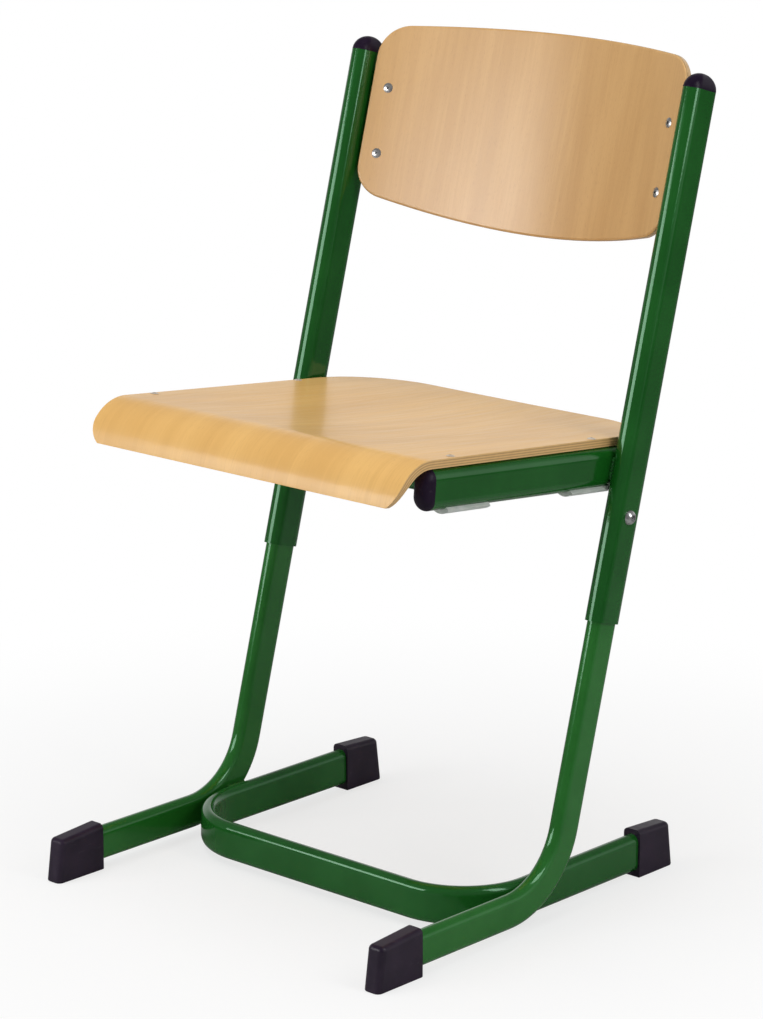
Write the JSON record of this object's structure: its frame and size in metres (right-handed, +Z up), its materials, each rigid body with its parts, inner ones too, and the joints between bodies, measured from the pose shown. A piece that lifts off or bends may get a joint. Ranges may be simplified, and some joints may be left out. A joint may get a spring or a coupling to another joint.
{
  "type": "school chair",
  "caption": "Height-adjustable school chair: flat-oval tube frame on low runners, moulded plywood seat and curved back, with sleeves that slide on the legs.",
  "frame": {"origin": "on the floor, midway between the two sides and midway between the front and rear extremes", "axes": "+Z up, -Y to the front of the chair, +X to the right as seen from the front"},
  "size_m": [0.4394, 0.4964, 0.7794],
  "materials": {
    "green_paint": "gloss powder coat",
    "beech_ply": "clear lacquer",
    "cap_plastic": "satin moulded",
    "shoe_plastic": "satin moulded",
    "pad_plastic": "translucent soft plastic",
    "zinc_steel": "zinc plated"
  },
  "bodies": {
    "lower_frame": {"leg_right": "green_paint", "leg_left": "green_paint", "leg_plug_right": "cap_plastic", "leg_plug_left": "cap_plastic", "base_tube": "green_paint", "front_foot_cap_right": "shoe_plastic", "front_foot_cap_left": "shoe_plastic", "rear_foot_cap_right": "shoe_plastic", "rear_foot_cap_left": "shoe_plastic"},
    "upper_frame": {"stile_right": "green_paint", "stile_left": "green_paint", "seat_rail_right": "green_paint", "seat_rail_left": "green_paint", "cross_tube": "green_paint", "rail_pad_front_right": "pad_plastic", "rail_pad_front_left": "pad_plastic", "rail_pad_rear_right": "pad_plastic", "rail_pad_rear_left": "pad_plastic", "stile_cap_right": "cap_plastic", "stile_cap_left": "cap_plastic", "rail_front_cap_right": "cap_plastic", "rail_front_cap_left": "cap_plastic", "rail_rear_cap_right": "cap_plastic", "rail_rear_cap_left": "cap_plastic", "seat_shell": "beech_ply", "back_panel": "beech_ply", "back_bracket_right": "green_paint", "back_bracket_left": "green_paint", "back_rivets": "zinc_steel", "seat_rivets": "zinc_steel", "height_bolt_right": "zinc_steel", "height_bolt_left": "zinc_steel", "clamp_nut_right": "zinc_steel", "clamp_nut_left": "zinc_steel"}
  },
  "joints": [
    {"name": "height_setting", "type": "slide", "parent": "lower_frame", "child": "upper_frame", "axis": [0, 0.263, 0.9648], "range_m": [-0.031, 0.052]}
  ]
}
